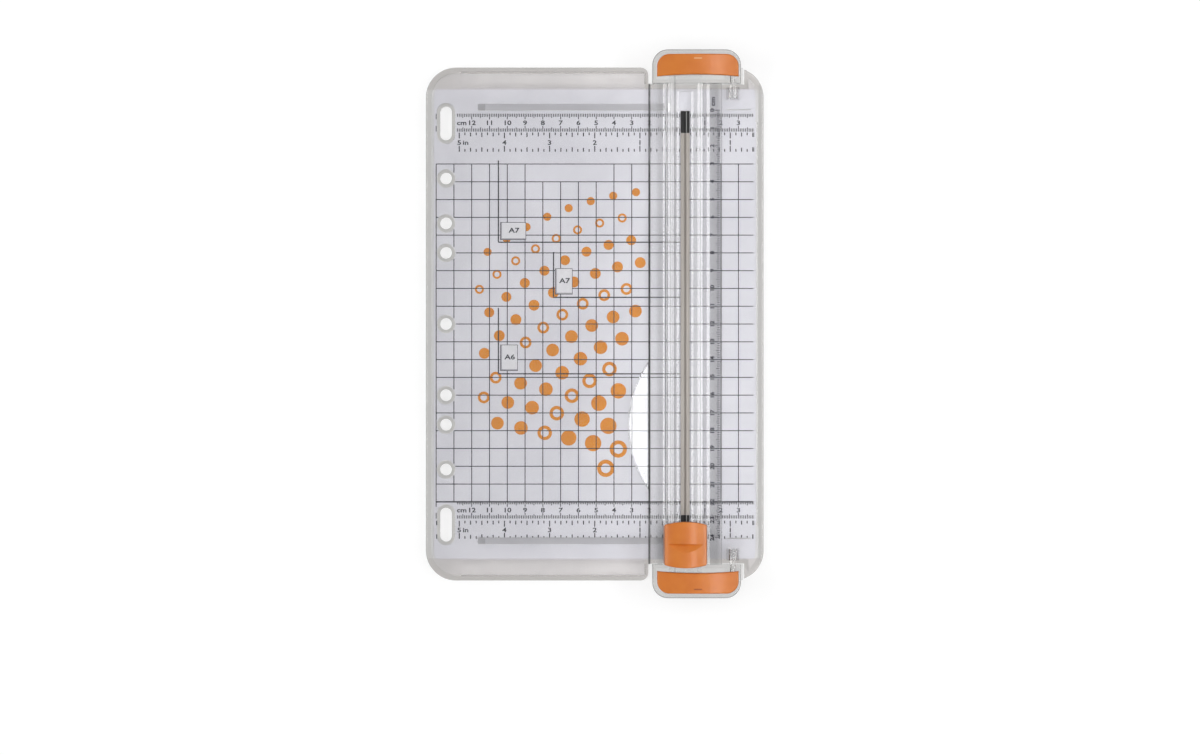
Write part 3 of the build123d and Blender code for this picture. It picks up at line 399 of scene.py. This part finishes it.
# %% [markdown]
# ## Clear plastic
# The tray, the rail and the caps are one clear moulding material. A Principled surface with full
# transmission bends the view as the real plastic does. Lamps need help: light that is bent twice
# rarely finds the card again, so for shadow rays alone the plastic counts as fully transparent.
# Its tint changes with the place: painted shade greys it where edges, walls, fences and slopes look darker,
# and the tray is painted lighter towards +X, where the light is stronger.

# %% Helpers for tints with painted shade
CLEAR_IOR = 1.49


def tint_and_shade_across(tree, *stops):
    """Greys across X for the tint and its painted shade; a stop is a place in millimetres and a grey."""
    low, high = stops[0][0], stops[-1][0]
    share = tree.nodes.new("ShaderNodeMapRange")
    share.inputs["From Min"].default_value = low * MM
    share.inputs["From Max"].default_value = high * MM
    tree.links.new(place_along(tree, "X"), share.inputs["Value"])
    ramp = tree.nodes.new("ShaderNodeValToRGB")
    points = ramp.color_ramp.elements
    while len(points) < len(stops):
        points.new(0.5)
    for point, (x, grey) in zip(points, stops):
        point.position = (x - low) / (high - low)
        point.color = (grey, grey, grey, 1)
    tree.links.new(share.outputs["Result"], ramp.inputs["Fac"])
    return ramp.outputs["Color"]


# %% Clear plastic
HAZE_PATCH = 30.0
GLOSS_SIZE = 9.0
GLOSS_RANGE = (0.02, 0.06)
WAVE_SIZE = 16.0
WAVE_DEPTH = 0.002
SMOKE_COLOUR = (0.30, 0.28, 0.25, 1)


def clear_plastic(name, smoke, *stops):
    """Clear moulding; smoke is how strongly a thick wall greys, per metre; the rest are stops of its tint and
    painted shade.
    """
    material, tree, output = new_material(name)
    glassy = tree.nodes.new("ShaderNodeBsdfPrincipled")
    glassy.inputs["Transmission Weight"].default_value = 1.0
    glassy.inputs["IOR"].default_value = CLEAR_IOR
    haze = shades(tree, grain(tree, HAZE_PATCH), tone(250, 250, 250), tone(254, 254, 254))
    tint = mixed(tree, "MULTIPLY", 1.0, haze, tint_and_shade_across(tree, *stops))
    tree.links.new(tint, glassy.inputs["Base Color"])
    tree.links.new(spread(tree, grain(tree, GLOSS_SIZE), *GLOSS_RANGE), glassy.inputs["Roughness"])
    tree.links.new(skin(tree, grain(tree, WAVE_SIZE), WAVE_DEPTH), glassy.inputs["Normal"])
    let_through = tree.nodes.new("ShaderNodeBsdfTransparent")
    path = tree.nodes.new("ShaderNodeLightPath")
    choose = tree.nodes.new("ShaderNodeMixShader")
    tree.links.new(path.outputs["Is Shadow Ray"], choose.inputs["Fac"])
    tree.links.new(glassy.outputs[0], choose.inputs[1])
    tree.links.new(let_through.outputs[0], choose.inputs[2])
    tree.links.new(choose.outputs[0], output.inputs["Surface"])
    depth = tree.nodes.new("ShaderNodeVolumeAbsorption")
    depth.inputs["Color"].default_value = SMOKE_COLOUR
    depth.inputs["Density"].default_value = smoke
    tree.links.new(depth.outputs[0], output.inputs["Volume"])
    return material, glassy


# %% Tray, with painted shade on the fences and the rim, greyer ledges and painted light towards +X
FENCE_MIDDLE = 121.8
FENCE_REACH = 2.3
# Painted shade on the raised fences, darker again at their left end
FENCE_PAINTED_SHADE = (0.62, 0.62, 0.62, 1.0)
FENCE_ROUGH = 0.35
LEDGE_FROM = 131.7
LEDGE_GREY = (0.935, 0.915, 0.91, 1.0)
FENCE_END = -61.5
FENCE_END_PAINTED_SHADE = (0.6, 0.6, 0.6, 1.0)
OFF_DECK = 0.05
TRAY_SMOKE = 58.0
# Painted light: the tray's tint grows lighter towards +X, where the light is stronger, and the rim gets
# painted shade
TRAY_TINT_AND_PAINTED_LIGHT = ((-95.0, 0.8), (-10.0, 0.86), (47.0, 0.96), (91.9, 0.92))
RIM_PAINTED_SHADE = ((92.3, 0.8), (95.0, 0.84))

tray, tray_surface = clear_plastic("clear_tray", TRAY_SMOKE, *TRAY_TINT_AND_PAINTED_LIGHT, *RIM_PAINTED_SHADE)
tree = tray.node_tree
out_from_middle = sums(tree, "ABSOLUTE", place_along(tree, "Y"))
on_fence = sums(tree, "COMPARE", out_from_middle, FENCE_MIDDLE * MM, FENCE_REACH * MM)
above_deck = sums(tree, "GREATER_THAN", place_along(tree, "Z"), (DECK_TOP + OFF_DECK) * MM)
fence = sums(tree, "MULTIPLY", on_fence, above_deck)
ledge = sums(tree, "GREATER_THAN", out_from_middle, LEDGE_FROM * MM)
tint = tray_surface.inputs["Base Color"].links[0].from_socket
past_end = sums(tree, "LESS_THAN", place_along(tree, "X"), FENCE_END * MM)
fence_end = sums(tree, "MULTIPLY", fence, past_end)
for mask, grey in ((fence, FENCE_PAINTED_SHADE), (fence_end, FENCE_END_PAINTED_SHADE), (ledge, LEDGE_GREY)):
    tint = mixed(tree, "MULTIPLY", mask, tint, grey)
tree.links.new(tint, tray_surface.inputs["Base Color"])
tray_gloss = tray_surface.inputs["Roughness"].links[0].from_socket
fence_gloss = sums(tree, "MULTIPLY_ADD", fence, FENCE_ROUGH, tray_gloss)
tree.links.new(fence_gloss, tray_surface.inputs["Roughness"])
dress(tray, "base_shell")

# %% Rail, with bands of painted shade from the lift tab across to the scale
RAIL_SMOKE = 14.0
# Painted shade: dark lines along the outer edge, the flange and the channel walls, and a darker slope under
# the scale
TAB_TINT = ((17.0, 1.0), (29.9, 1.0))
EDGE_PAINTED_SHADE = ((30.0, 0.27), (31.0, 0.27))
FLANGE_PAINTED_SHADE = ((31.5, 0.98), (34.0, 0.98), (36.4, 0.83), (37.8, 0.83), (38.6, 1.0), (40.2, 1.0))
WALL_PAINTED_SHADE = ((40.4, 0.5), (41.1, 0.5))
CHANNEL_PAINTED_SHADE = ((41.4, 1.0), (44.3, 1.0), (44.7, 0.84), (45.3, 0.84), (45.6, 1.0), (63.9, 1.0))
SCALE_PAINTED_SHADE = ((64.8, 0.8), (68.5, 0.74), (70.6, 0.86), (71.5, 0.7))
RAIL_PAINTED_SHADE = (*TAB_TINT, *EDGE_PAINTED_SHADE, *FLANGE_PAINTED_SHADE, *WALL_PAINTED_SHADE, *CHANNEL_PAINTED_SHADE, *SCALE_PAINTED_SHADE)

rail, _ = clear_plastic("clear_rail", RAIL_SMOKE, *RAIL_PAINTED_SHADE)
dress(rail, "cutting_rail")

# %% Caps and pins, with painted shade on the rounded edges
FLAT_FROM = 0.93
CAP_EDGE_DEPTH = 0.9
CAP_EDGE_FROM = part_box("end_cap_upper")[1].z - CAP_EDGE_DEPTH * MM
# Painted shade: the rounded edges near the top of a cap are darker, as a dark outline
CAP_EDGE_PAINTED_SHADE = (0.36, 0.36, 0.36, 1.0)
CAP_SMOKE = 26.0
CAP_TINT = ((28.0, 0.92), (76.0, 0.95))

cap, cap_surface = clear_plastic("clear_cap", CAP_SMOKE, *CAP_TINT)
tree = cap.node_tree
upright = sums(tree, "ABSOLUTE", place_along(tree, "Z", "Normal"))
near_top = sums(tree, "GREATER_THAN", place_along(tree, "Z"), CAP_EDGE_FROM)
rounded = sums(tree, "MULTIPLY", near_top, sums(tree, "LESS_THAN", upright, FLAT_FROM))
tint = cap_surface.inputs["Base Color"].links[0].from_socket
tree.links.new(mixed(tree, "MULTIPLY", rounded, tint, CAP_EDGE_PAINTED_SHADE), cap_surface.inputs["Base Color"])
dress(cap, "end_cap_upper", "end_cap_lower", "hinge_pin_upper", "hinge_pin_lower")

# %% [markdown]
# ## Springs under the slider
# Two small coil springs lift the blade again when the thumb lets go. A spring gets shorter, which no
# rigid piece can do; this mesh stands for the solid springs, at rest. The wire is a ring of points that
# is carried along a helix. A curve with a round bevel would do as well.

# %% One coil
SPRING_WIRE_R = 0.2 * MM
SPRING_TURNS = 7
STEPS_A_TURN = 24
WIRE_POINTS = 8
UP = Vector((0.0, 0.0, 1.0))


def wind(springs, x, y, foot, head, radius):
    """A spring wire with closed ends, wound up from foot to head."""
    steps = SPRING_TURNS * STEPS_A_TURN
    rings = []
    for i in range(steps + 1):
        turn = 2 * math.pi * i / STEPS_A_TURN
        outward = Vector((math.cos(turn), math.sin(turn), 0.0))
        middle = Vector((x, y, foot + (head - foot) * i / steps)) + radius * outward
        ring = []
        for j in range(WIRE_POINTS):
            angle = 2 * math.pi * j / WIRE_POINTS
            reach = math.cos(angle) * outward + math.sin(angle) * UP
            ring.append(springs.verts.new(middle + SPRING_WIRE_R * reach))
        rings.append(ring)
    for ring, following in zip(rings, rings[1:]):
        for j in range(WIRE_POINTS):
            springs.faces.new((ring[j - 1], ring[j], following[j], following[j - 1]))
    springs.faces.new(rings[0])
    springs.faces.new(rings[-1])
    bmesh.ops.recalc_face_normals(springs, faces=springs.faces)


# %% Both springs, between the carriage and the slider
low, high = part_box("blade_springs")
spring_x = (low.x + high.x) / 2
spring_r = (high.x - low.x) / 2
springs = bmesh.new()
foot = low.z + SPRING_WIRE_R
head = high.z - SPRING_WIRE_R
for spring_y in (low.y + spring_r, high.y - spring_r):
    wind(springs, spring_x, spring_y, foot, head, spring_r - SPRING_WIRE_R)
spring_mesh = bpy.data.meshes.new("coil_springs")
springs.to_mesh(spring_mesh)
springs.free()
spring_mesh.shade_smooth()
spring_mesh.materials.append(steel)
coil_springs = bpy.data.objects.new("coil_springs", spring_mesh)
scene.collection.objects.link(coil_springs)
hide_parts("blade_springs")
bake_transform(coil_springs)
print("springs are", round((high.z - low.z) / MM, 2), "mm long at rest")

# %% [markdown]
# ## The printed card
# The card under the deck carries rulers, a centimetre grid and guides for small paper sizes.
# An image texture would be the quick way, but it blurs in a close view. Here every line and digit is
# a very thin closed block of ink, so it stays sharp and each layer can lie over the one before it.

# %% Helpers that lay ink
CARD_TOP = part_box("grid_sheet")[1].z / MM
INK_SINK = 0.005
BOLDER = 0.025
SAME_PLACE = 0.0005


def lay_bar(ink, x0, y0, x1, y1, thick):
    """A flat bar of ink between two corners, in millimetres, thick above the card."""
    size = (abs(x1 - x0), abs(y1 - y0), thick + INK_SINK)
    middle = Vector(((x0 + x1) / 2, (y0 + y1) / 2, (thick - INK_SINK) / 2))
    place = Matrix.Translation(middle) @ Matrix.Diagonal((*size, 1.0))
    bmesh.ops.create_cube(ink, size=1.0, matrix=place)


def lay_words(ink, words, x, y, height, thick, widen=1.3, turn=0.0):
    """Letters of a given height in millimetres, centred at a place; turn is in degrees."""
    curve = bpy.data.curves.new("words", "FONT")
    curve.body = words
    curve.align_x = "CENTER"
    curve.size = height / DIGIT_SHARE
    curve.extrude = (thick + INK_SINK) / 2
    curve.offset = BOLDER * curve.size
    curve.resolution_u = 3
    letters = bpy.data.objects.new("words", curve)
    scene.collection.objects.link(letters)
    bpy.context.view_layer.update()
    depsgraph = bpy.context.evaluated_depsgraph_get()
    mesh = bpy.data.meshes.new_from_object(letters.evaluated_get(depsgraph))
    centre = Matrix.Translation((0.0, -height / 2, (thick - INK_SINK) / 2))
    wide = Matrix.Diagonal((widen, 1.0, 1.0, 1.0))
    spun = Matrix.Rotation(math.radians(turn), 4, "Z")
    mesh.transform(Matrix.Translation((x, y, 0.0)) @ spun @ wide @ centre)
    ink.from_mesh(mesh)
    bpy.data.objects.remove(letters)
    bpy.data.curves.remove(curve)
    bpy.data.meshes.remove(mesh)


def lay_disc(ink, x, y, radius, thick, hole=0.0, steps=40):
    """A round patch of ink, or a ring where hole is the radius left open."""
    turns = [2 * math.pi * i / steps for i in range(steps)]
    rims = []
    for rim_radius in (radius, hole):
        for z in (-INK_SINK, thick):
            if rim_radius > 0:
                places = [(x + rim_radius * math.cos(a), y + rim_radius * math.sin(a), z) for a in turns]
                rims.append([ink.verts.new(place) for place in places])
    loops = [(rims[0], rims[1])]
    if hole > 0:
        loops += [(rims[1], rims[3]), (rims[3], rims[2]), (rims[2], rims[0])]
    else:
        ink.faces.new(rims[1])
        ink.faces.new(list(reversed(rims[0])))
    for low, high in loops:
        for i in range(steps):
            j = (i + 1) % steps
            ink.faces.new((low[i], low[j], high[j], high[i]))


def ink_piece(name, ink, material, body, place):
    """Turn laid ink into a piece that rides on a body; place maps millimetres into the frame."""
    bmesh.ops.remove_doubles(ink, verts=ink.verts, dist=SAME_PLACE)
    bmesh.ops.recalc_face_normals(ink, faces=ink.faces)
    mesh = bpy.data.meshes.new(name)
    ink.to_mesh(mesh)
    ink.free()
    mesh.transform(Matrix.Scale(MM, 4) @ place)
    mesh.materials.append(material)
    piece = bpy.data.objects.new(name, mesh)
    scene.collection.objects.link(piece)
    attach(piece, body)
    print(name, "has", len(mesh.polygons), "faces and rides on", body)
    return piece


# %% How tall a digit is for a font of size 1
probe_curve = bpy.data.curves.new("probe", "FONT")
probe_curve.body = "8"
probe = bpy.data.objects.new("probe", probe_curve)
scene.collection.objects.link(probe)
bpy.context.view_layer.update()
DIGIT_SHARE = probe.dimensions.y
bpy.data.objects.remove(probe)
bpy.data.curves.remove(probe_curve)
print("a digit takes", round(DIGIT_SHARE, 3), "of the font size")

# %% Keep the ink off the ring holes
RING_X = -83.6
RING_REACH = 5.5
SLOT_HALF = 6.25
RING_PLACES = [(y, 0.0) for y in (0.0, 40.0, -40.0, 56.6, -56.6, 81.8, -81.8)]
RING_PLACES += [(112.8, SLOT_HALF), (-112.8, SLOT_HALF)]


def ring_gap_across(y):
    """The stretch of X that a ring hole takes out of a line at this Y, if any."""
    for ring_y, half in RING_PLACES:
        off = max(abs(y - ring_y) - half, 0.0)
        if off < RING_REACH:
            reach = math.sqrt(RING_REACH ** 2 - off ** 2)
            return RING_X - reach, RING_X + reach
    return None


def lay_across(ink, y, x0, x1, width, thick):
    """A line across the card that stops at ring holes."""
    gap = ring_gap_across(y)
    runs = [(x0, x1)]
    if gap and x0 < gap[1]:
        runs = [(x0, gap[0]), (gap[1], x1)]
    for start, end in runs:
        if end > start:
            lay_bar(ink, start, y - width / 2, end, y + width / 2, thick)


def lay_along(ink, x, y0, y1, width, thick):
    """A line along the card that stops at ring holes; y0 lies above y1."""
    side = abs(x - RING_X)
    breaks = []
    if side < RING_REACH:
        reach = math.sqrt(RING_REACH ** 2 - side ** 2)
        breaks = sorted((ring_y + half + reach, ring_y - half - reach) for ring_y, half in RING_PLACES)
    top = y0
    for high, low in reversed(breaks):
        if y1 < low and high < y0:
            lay_bar(ink, x - width / 2, high, x + width / 2, top, thick)
            top = low
    lay_bar(ink, x - width / 2, y1, x + width / 2, top, thick)


# %% Inks
line_ink, _ = finish("line_ink", tone(32, 33, 46), tone(46, 47, 60), 1.5, (0.5, 0.65), 0.3, 0.003)
dot_ink, _ = finish("orange_ink", tone(222, 135, 2), tone(230, 146, 10), 5.0, (0.5, 0.65), 0.4, 0.004)
label_ink, _ = finish("label_ink", tone(229, 229, 235), tone(237, 237, 242), 6.0, (0.5, 0.6), 0.4, 0.004)
shadow_ink, _ = finish("shadow_ink", tone(158, 158, 166), tone(172, 172, 180), 3.0, (0.5, 0.6), 0.4, 0.004)
on_card = Matrix.Translation((0.0, 0.0, CARD_TOP))

# %% Centimetre grid, counted from the cut line
CUT_LINE = 50.8
GRID_LEFT = -89.2
GRID_RIGHT = 89.1
GRID_TOP = 90.0
GRID_BOTTOM = -100.0
GRID_STEP = 10.0
GRID_LINE = 0.5
GRID_LAST_LINE = 0.8
GRID_THICK = 0.03
SHORT_COLUMNS = (5, 6, 7, 8)  # these start one row lower, below an empty field
UNPRINTED = (0, -1)  # the columns under the strip and under the right wall of the rail

grid = bmesh.new()
y = GRID_TOP
while y > GRID_BOTTOM - 1:
    width = GRID_LAST_LINE if y < GRID_BOTTOM + 1 else GRID_LINE
    lay_across(grid, y, GRID_LEFT, GRID_RIGHT, width, GRID_THICK)
    y -= GRID_STEP
for k in range(-3, 15):
    if k not in UNPRINTED:
        top = GRID_TOP - (GRID_STEP if k in SHORT_COLUMNS else 0.0)
        lay_along(grid, CUT_LINE - GRID_STEP * k, top, GRID_BOTTOM, GRID_LINE, GRID_THICK)
ink_piece("card_grid", grid, line_ink, "base", on_card)

# %% [markdown]
# ## Rulers
# Four rulers count from the cut line outwards: centimetres and inches, above and below the grid.
# Each has ticks that hang from its upper edge and ticks that rise from its lower edge, with the digits
# between them. One helper lays a whole ruler from its step, so the spacing is exact everywhere.

# %% Ruler helper
RULER_THICK = 0.03
DIGIT_HEIGHT = 2.5
DIGIT_FREE_LEFT = 6
DIGIT_FREE_RIGHT = 3


def lay_ruler(ink, step, marks, lengths, line, top, bottom, digits_y, unit, x_left, x_right):
    """Ticks each step from the cut line; lengths are for unit, half, quarter and smallest ticks."""
    for side, reach in ((-1, CUT_LINE - x_left), (1, x_right - CUT_LINE)):
        for i in range(1, int(reach / step) + 1):
            x = CUT_LINE + side * i * step
            gap = ring_gap_across(top if abs(top) > abs(bottom) else bottom)
            if gap and gap[0] < x < gap[1]:
                continue
            whole = i % marks == 0
            half = 2 * i % marks == 0
            quarter = 4 * i % marks == 0
            length = lengths[0] if whole else lengths[1] if half else lengths[2] if quarter else lengths[3]
            lay_bar(ink, x - line / 2, top - length, x + line / 2, top, RULER_THICK)
            lay_bar(ink, x - line / 2, bottom, x + line / 2, bottom + length, RULER_THICK)
            if whole and x_left + DIGIT_FREE_LEFT < x < x_right - DIGIT_FREE_RIGHT:
                lay_words(ink, str(i // marks), x, digits_y, DIGIT_HEIGHT, RULER_THICK)
    lay_words(ink, unit[0], unit[1], digits_y, DIGIT_HEIGHT, RULER_THICK)


# %% Upper and lower rulers
CM = (1.0, 10, (3.2, 2.4, 1.8, 1.8), 0.48)
CM_ENDS = (("cm", -74.8), -89.6, 88.8)
INCH = (3.175, 8, (3.3, 2.5, 2.2, 1.5), 0.62)
INCH_ENDS = (("in", -72.6), -89.6, 89.2)

for name, cm_heights, inch_heights in (
    ("upper_rulers", (118.3, 108.2, 113.2), (107.7, 96.9, 102.1)),
    ("lower_rulers", (-99.6, -109.4, -104.6), (-110.6, -120.8, -115.8)),
):
    ruler = bmesh.new()
    lay_ruler(ruler, *CM, *cm_heights, *CM_ENDS)
    lay_ruler(ruler, *INCH, *inch_heights, *INCH_ENDS)
    ink_piece(name, ruler, line_ink, "base", on_card)

# %% [markdown]
# ## Paper-size guides
# Corner lines show where small sheets end, and a small tag names the size. The tag hides the grid
# below it, so it is a patch of card colour that lies a little higher, with its own border and shadow.

# %% Guides and tags
GUIDE_LINE = 0.7
GUIDE_THICK = 0.035
TAG_THICK = 0.04
SHADE_THICK = TAG_THICK + 0.01
LETTER_THICK = TAG_THICK + 0.02
LETTER_HEIGHT = 2.7
BORDER = 0.3
TAG_SHADE = 1.0
STRIP_FREE = 3.0

guides = bmesh.new()
tags = bmesh.new()
tag_shades = bmesh.new()
for words, guide_x, guide_top, guide_y, box in (
    ("A7", -54.2, 92.0, 46.0, (-53.2, 47.2, -38.6, 57.3)),
    ("A7", -23.2, 40.5, 15.0, (-22.4, 16.6, -12.5, 31.3)),
    ("A6", -54.2, 9.0, -28.0, (-53.2, -26.4, -43.3, -11.6)),
):
    x0, y0, x1, y1 = box
    half = GUIDE_LINE / 2
    lay_bar(guides, guide_x - half, guide_y, guide_x + half, guide_top, GUIDE_THICK)
    lay_bar(guides, guide_x, guide_y - half, CUT_LINE - STRIP_FREE, guide_y + half, GUIDE_THICK)
    lay_bar(tags, x0, y0, x1, y1, TAG_THICK)
    lay_bar(tag_shades, x0, y0, x0 + TAG_SHADE, y1, SHADE_THICK)
    lay_bar(tag_shades, x0, y0, x1, y0 + TAG_SHADE, SHADE_THICK)
    for x in (x0, x1 - BORDER):
        lay_bar(guides, x, y0, x + BORDER, y1, LETTER_THICK)
    for y in (y0, y1 - BORDER):
        lay_bar(guides, x0, y, x1, y + BORDER, LETTER_THICK)
    middle_x = (x0 + x1 + TAG_SHADE) / 2
    middle_y = (y0 + y1 + TAG_SHADE) / 2
    lay_words(guides, words, middle_x, middle_y, LETTER_HEIGHT, LETTER_THICK)
ink_piece("size_guides", guides, line_ink, "base", on_card)
ink_piece("size_tags", tags, label_ink, "base", on_card)
ink_piece("size_tag_shades", tag_shades, shadow_ink, "base", on_card)

# %% [markdown]
# ## Orange print
# The card also carries a cheerful orange decoration. This one is a plain fan of dots: arcs of discs
# and rings that spread from the lower right and grow smaller on the way out. Each place comes from an
# angle and a radius, so nothing is drawn by hand and the script gives the same dots each run. The
# rail and its lift tab stay clear of dots, so their plastic keeps its plain, bright look.

# %% Fan of dots
DOT_THICK = 0.02
FAN_X, FAN_Y = 44.0, -98.0
FAN_FIRST, FAN_STEP, FAN_ARCS = 15.0, 13.2, 13
FAN_START, FAN_END = 84.0, 158.0
DOT_PITCH = 13.0
DOT_LARGE, DOT_SMALL = 5.4, 2.3
RING_HOLE = 0.55
DOT_LEFT, DOT_RIGHT, DOT_TOP = -66.0, 29.5, 86.0
TAB_LEFT, TAB_FROM, TAB_TO = 20.5, -94.0, -20.0

dots = bmesh.new()
for arc in range(FAN_ARCS):
    radius = FAN_FIRST + FAN_STEP * arc
    dot = DOT_LARGE + (DOT_SMALL - DOT_LARGE) * arc / (FAN_ARCS - 1)
    turn = math.degrees(DOT_PITCH / radius)
    angle = FAN_START + (0.5 * turn if arc % 2 else 0.0)
    while angle < FAN_END:
        x = FAN_X + radius * math.cos(math.radians(angle))
        y = FAN_Y + radius * math.sin(math.radians(angle))
        right = TAB_LEFT if TAB_FROM < y < TAB_TO else DOT_RIGHT
        if DOT_LEFT < x and x + dot < right and y < DOT_TOP:
            lay_disc(dots, x, y, dot, DOT_THICK, RING_HOLE * dot if arc % 3 == 2 else 0.0)
        angle += turn
ink_piece("card_dots", dots, dot_ink, "base", on_card)

# %% [markdown]
# ## Scale on the rail
# The rail has its own centimetre scale, printed on the slope beside the channel. It rides on the rail,
# so it swings up with it. The slope has its own little plane: one corner, and the direction down it.

# %% Rail scale
SLOPE_TOP = Vector((CUT_LINE + 13.9, 0.0, 12.23))
SLOPE_FOOT = Vector((CUT_LINE + 20.7, 0.0, 11.75))
RULER_ZERO = 120.0
SCALE_LAST = 240
SCALE_THICK = 0.03
SCALE_HALF_LINE = 0.17
CM_START, HALF_START, MM_START, TICK_END = 2.9, 3.5, 4.1, 5.5
SCALE_DIGIT = (1.2, 2.2)
SCALE_UNIT = (1.5, 4.9, 2.5)
SCALE_WIDEN = 1.2
QUARTER_TURN = 90.0

down = (SLOPE_FOOT - SLOPE_TOP).normalized()
normal = down.cross(Vector((0.0, 1.0, 0.0)))
on_slope = Matrix((
    (down.x, 0.0, normal.x, SLOPE_TOP.x),
    (0.0, 1.0, 0.0, 0.0),
    (down.z, 0.0, normal.z, SLOPE_TOP.z),
    (0.0, 0.0, 0.0, 1.0),
))
scale = bmesh.new()
for i in range(SCALE_LAST + 1):
    y = RULER_ZERO - i
    start = CM_START if i % 10 == 0 else HALF_START if i % 5 == 0 else MM_START
    lay_bar(scale, start, y - SCALE_HALF_LINE, TICK_END, y + SCALE_HALF_LINE, SCALE_THICK)
    if i % 10 == 0:
        place, height = SCALE_DIGIT
        lay_words(scale, str(i // 10), place, y, height, SCALE_THICK, SCALE_WIDEN, QUARTER_TURN)
place, above_zero, height = SCALE_UNIT
lay_words(scale, "cm", place, RULER_ZERO + above_zero, height, SCALE_THICK, SCALE_WIDEN, QUARTER_TURN)
ink_piece("rail_scale", scale, line_ink, "rail", on_slope)
